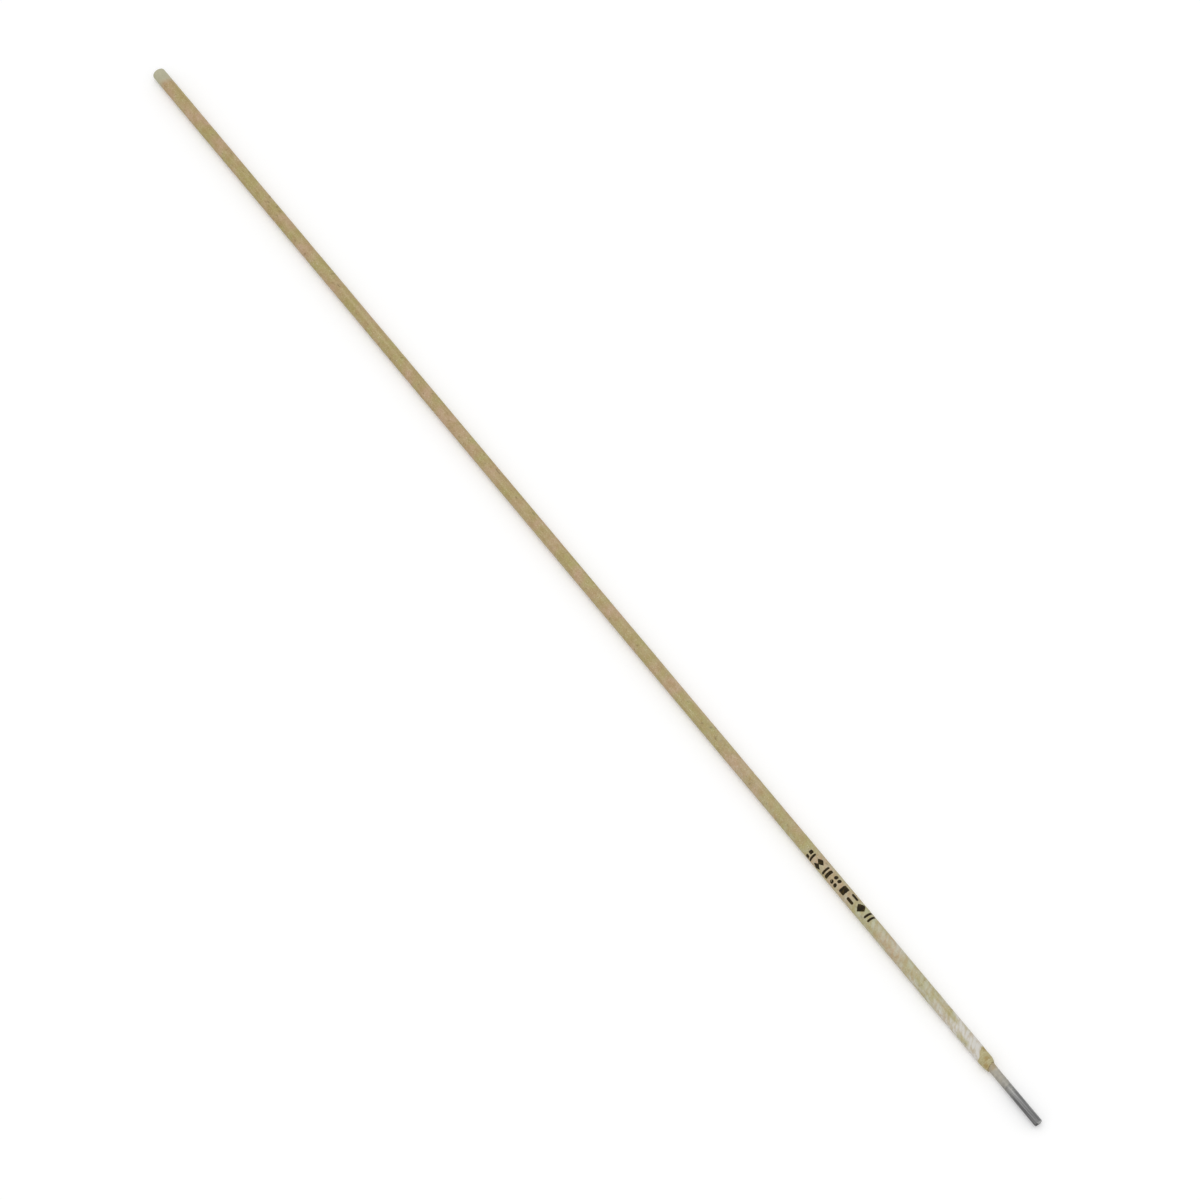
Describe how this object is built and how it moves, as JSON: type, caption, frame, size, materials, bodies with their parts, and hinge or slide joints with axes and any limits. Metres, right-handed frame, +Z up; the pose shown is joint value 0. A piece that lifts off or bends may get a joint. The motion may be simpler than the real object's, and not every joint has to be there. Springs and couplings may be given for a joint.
{
  "type": "stick welding electrode",
  "caption": "Thin straight steel core wire in a baked mineral coating, bare at the grip end, with a tapered shoulder there and a rounded nose at the striking end.",
  "frame": {"origin": "centre of the free face of the bare grip end, on the rod's axis", "axes": "+X runs along the rod's axis from the grip end to the striking end, +Z up, the rod lying level"},
  "size_m": [0.35, 0.0032, 0.0032],
  "materials": {
    "core_wire": "drawn, satin, dark along the die lines",
    "flux_coating": "matte, fine grained, dusty near the grip"
  },
  "bodies": {
    "root": {"core_wire": "core_wire", "flux_coating": "flux_coating"}
  },
  "joints": []
}
